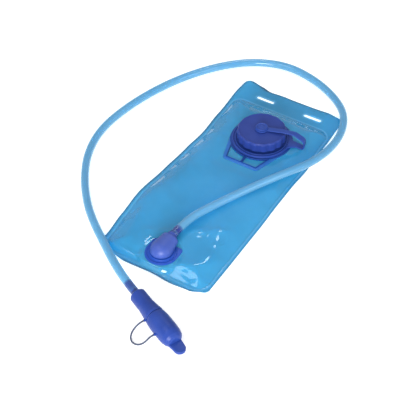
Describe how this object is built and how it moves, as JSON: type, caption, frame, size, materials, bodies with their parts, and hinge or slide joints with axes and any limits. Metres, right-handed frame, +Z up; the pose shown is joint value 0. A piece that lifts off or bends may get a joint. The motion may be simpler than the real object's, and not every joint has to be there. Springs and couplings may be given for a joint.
{
  "type": "hydration bladder",
  "caption": "Flat soft water bladder with hang slots, a tethered screw cap, a finger handle, a domed outlet and a drinking hose with a covered bite valve.",
  "frame": {"origin": "middle of the back film's outer face, on the surface that the bladder lies on", "axes": "+X across the bag to the side the hose leaves over, +Y along the bag to the hang slots, +Z up out of the front film"},
  "size_m": [0.29, 0.5019, 0.0294],
  "materials": {
    "film": "clear tinted film, glossy",
    "hose_tube": "clear tinted tube, glossy",
    "neck_plastic": "moulded, satin",
    "cap_plastic": "moulded, fine matte",
    "outlet_plastic": "moulded, satin gloss",
    "valve_plastic": "soft moulded, satin",
    "seal_rubber": "matte",
    "nipple_silicone": "translucent silicone",
    "tether_cord": "thin matte cord"
  },
  "bodies": {
    "bladder": {"back_film": "film", "front_film": "film", "fill_neck": "neck_plastic", "fill_handle": "neck_plastic", "tether_ring": "cap_plastic", "tether_strap": "cap_plastic", "outlet_flange": "outlet_plastic", "outlet_o_ring": "seal_rubber", "hose": "hose_tube", "valve_barb": "valve_plastic", "valve_grip": "valve_plastic", "valve_o_ring": "seal_rubber", "bite_nipple": "nipple_silicone", "cover_tether": "tether_cord"},
    "eye": {"strap_eye": "cap_plastic"},
    "cap": {"screw_cap": "cap_plastic", "cap_button": "cap_plastic", "cap_gasket": "seal_rubber"},
    "elbow": {"outlet_elbow": "outlet_plastic"},
    "cover": {"dust_cover": "valve_plastic"}
  },
  "joints": [
    {"name": "cap_rise", "type": "slide", "parent": "bladder", "child": "eye", "axis": [0, 0, 1], "range_m": [0, 0.015], "deforming": ["tether_strap"]},
    {"name": "cap_turn", "type": "hinge", "parent": "eye", "child": "cap", "pos_m": [0.0025, 0.078, 0], "axis": [0, 0, 1], "range_deg": [0, 1080.01]},
    {"name": "outlet_swivel", "type": "hinge", "parent": "bladder", "child": "elbow", "pos_m": [0.0024, -0.1495, 0], "axis": [0, 0, 1], "range_deg": [-25, 25], "deforming": ["hose"]},
    {"name": "cover_pull", "type": "slide", "parent": "bladder", "child": "cover", "axis": [0.9063, -0.4226, 0], "range_m": [0, 0.036], "deforming": ["cover_tether"]}
  ],
  "couplings": [
    {"joint": "cap_turn", "follows": "cap_rise", "rad_per_m": 1256.6}
  ]
}
